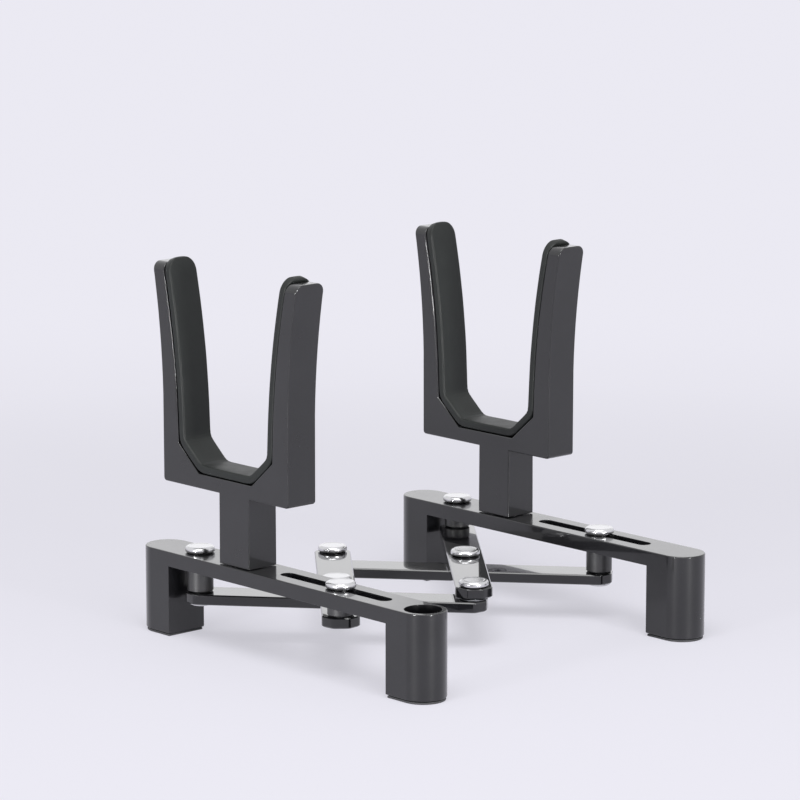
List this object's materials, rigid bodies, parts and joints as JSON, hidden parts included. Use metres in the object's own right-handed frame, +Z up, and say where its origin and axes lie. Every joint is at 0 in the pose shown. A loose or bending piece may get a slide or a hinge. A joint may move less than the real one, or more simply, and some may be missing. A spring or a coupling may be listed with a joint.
{
  "type": "folding violin stand",
  "caption": "Folding stand for a violin: footed rails with padded U-shaped cradles, joined by a flat scissor linkage so that it closes sideways, and a hole for the bow's tip.",
  "frame": {"origin": "under the middle of the stand, on the surface that it stands on", "axes": "+Z up; -Y towards the player's side, where the bow's hole is; the rails run along Y and the stand opens and folds along X"},
  "size_m": [0.174, 0.184, 0.1669],
  "materials": {
    "black_enamel": "gloss black enamel over cast aluminium",
    "black_steel": "gloss",
    "lining_rubber": "satin",
    "foot_rubber": "matte",
    "polished_plate": "polished",
    "dark_steel": "satin",
    "black_nylon": "satin"
  },
  "bodies": {
    "left_side": {"left_rail": "black_enamel", "left_cradle": "black_enamel", "left_lining": "lining_rubber", "left_screw_front": "dark_steel", "left_screw_back": "dark_steel", "left_pad_front": "foot_rubber", "left_pad_back": "foot_rubber", "rivet_left_back": "polished_plate", "cap_left_back": "polished_plate", "spacer_left_back": "black_nylon"},
    "lower_left_link": {"link_lower_left": "black_steel", "rivet_cross_left": "polished_plate", "cap_cross_left": "polished_plate", "washer_cross_left": "dark_steel", "rivet_front": "polished_plate", "cap_front": "polished_plate", "washer_front": "dark_steel"},
    "upper_left_link": {"link_upper_left": "black_steel", "rivet_left_front": "polished_plate", "cap_left_front": "polished_plate", "spacer_left_front": "black_nylon", "rivet_back": "polished_plate", "cap_back": "polished_plate", "washer_back": "dark_steel"},
    "upper_right_link": {"link_upper_right": "black_steel", "rivet_cross_right": "polished_plate", "cap_cross_right": "polished_plate", "washer_cross_right": "dark_steel"},
    "lower_right_link": {"link_lower_right": "black_steel", "rivet_right_front": "polished_plate", "cap_right_front": "polished_plate", "spacer_right_front": "black_nylon"},
    "right_side": {"right_rail": "black_enamel", "right_cradle": "black_enamel", "right_lining": "lining_rubber", "right_screw_front": "dark_steel", "right_screw_back": "dark_steel", "right_pad_front": "foot_rubber", "right_pad_back": "foot_rubber", "rivet_right_back": "polished_plate", "cap_right_back": "polished_plate", "spacer_right_back": "black_nylon"}
  },
  "joints": [
    {"name": "fold", "type": "hinge", "parent": "left_side", "child": "lower_left_link", "pos_m": [-0.077, 0.0602, 0.0185], "axis": [0, 0, 1], "range_deg": [-31.4, 20.9]},
    {"name": "cross_left", "type": "hinge", "parent": "lower_left_link", "child": "upper_left_link", "pos_m": [-0.0385, 0.01439, 0.0213], "axis": [0, 0, 1], "range_deg": [-41.9, 62.9]},
    {"name": "front_middle", "type": "hinge", "parent": "lower_left_link", "child": "upper_right_link", "pos_m": [0, -0.03142, 0.0213], "axis": [0, 0, 1], "range_deg": [-41.9, 62.9]},
    {"name": "cross_right", "type": "hinge", "parent": "upper_right_link", "child": "lower_right_link", "pos_m": [0.0385, 0.01439, 0.0185], "axis": [0, 0, 1], "range_deg": [-62.9, 41.9]},
    {"name": "right_back", "type": "hinge", "parent": "upper_right_link", "child": "right_side", "pos_m": [0.077, 0.0602, 0.03475], "axis": [0, 0, 1], "range_deg": [-31.5, 21]}
  ],
  "couplings": [
    {"joint": "cross_left", "follows": "fold", "ratio": -2},
    {"joint": "front_middle", "follows": "fold", "ratio": -2},
    {"joint": "cross_right", "follows": "fold", "ratio": 2},
    {"joint": "right_back", "follows": "fold", "ratio": 1}
  ]
}
